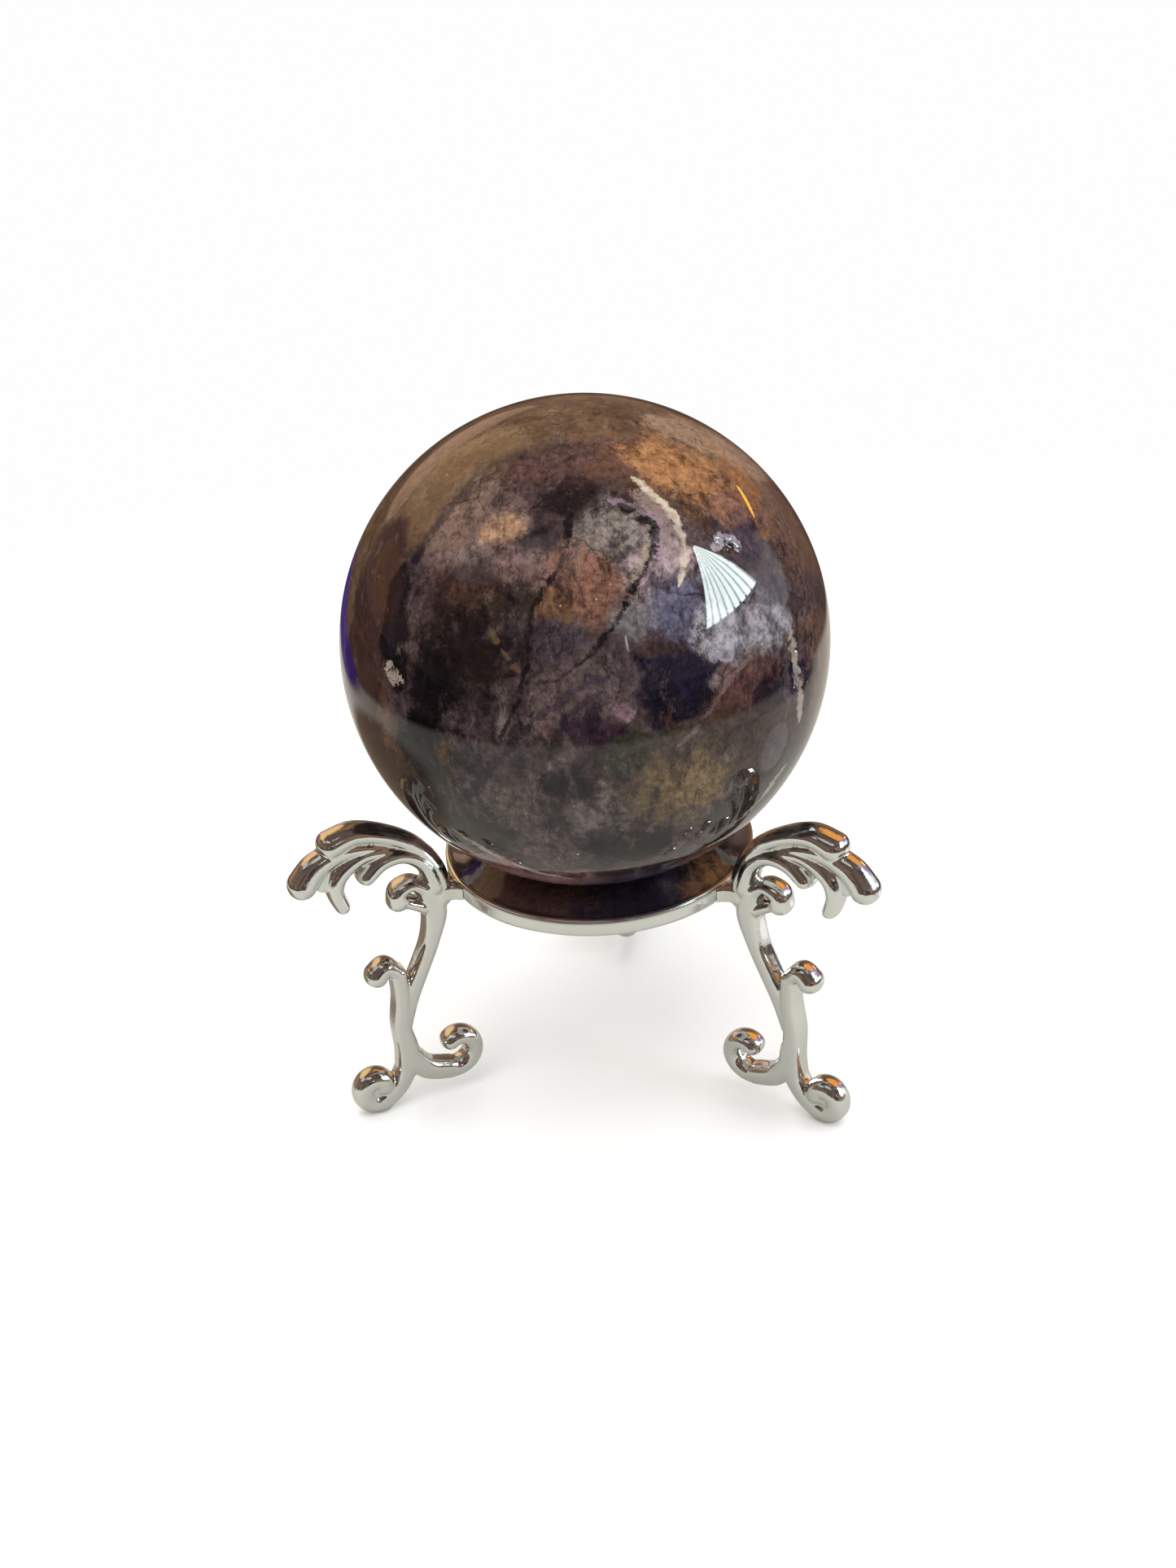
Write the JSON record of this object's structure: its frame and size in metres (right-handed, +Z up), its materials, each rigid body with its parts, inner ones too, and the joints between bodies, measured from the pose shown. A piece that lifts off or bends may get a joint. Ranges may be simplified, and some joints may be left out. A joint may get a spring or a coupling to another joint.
{
  "type": "crystal ball on a three-legged scroll stand",
  "caption": "Polished dark stone sphere resting in the dished seat ring of a silver-plated scroll stand whose plumed legs curl inward and outward at the foot.",
  "frame": {"origin": "on the axis of the seat ring, at the height of the surface that the feet stand on", "axes": "+Z up along the axis of the ring and the ball; +Y towards the rear leg; +X to the right seen from the front"},
  "size_m": [0.0724, 0.0713, 0.0897],
  "materials": {
    "fluorite": "polished",
    "silver_plate": "polished",
    "plated_solder": "gloss"
  },
  "bodies": {
    "stand": {"seat_ring": "silver_plate", "leg_front_left": "silver_plate", "leg_front_right": "silver_plate", "leg_rear": "silver_plate", "solder_front_left": "plated_solder", "solder_front_right": "plated_solder", "solder_rear": "plated_solder"},
    "ball": {"crystal_ball": "fluorite"}
  },
  "joints": [
    {"name": "ball_lift", "type": "slide", "parent": "stand", "child": "ball", "axis": [0, 0, 1], "range_m": [0, 0.08]}
  ]
}
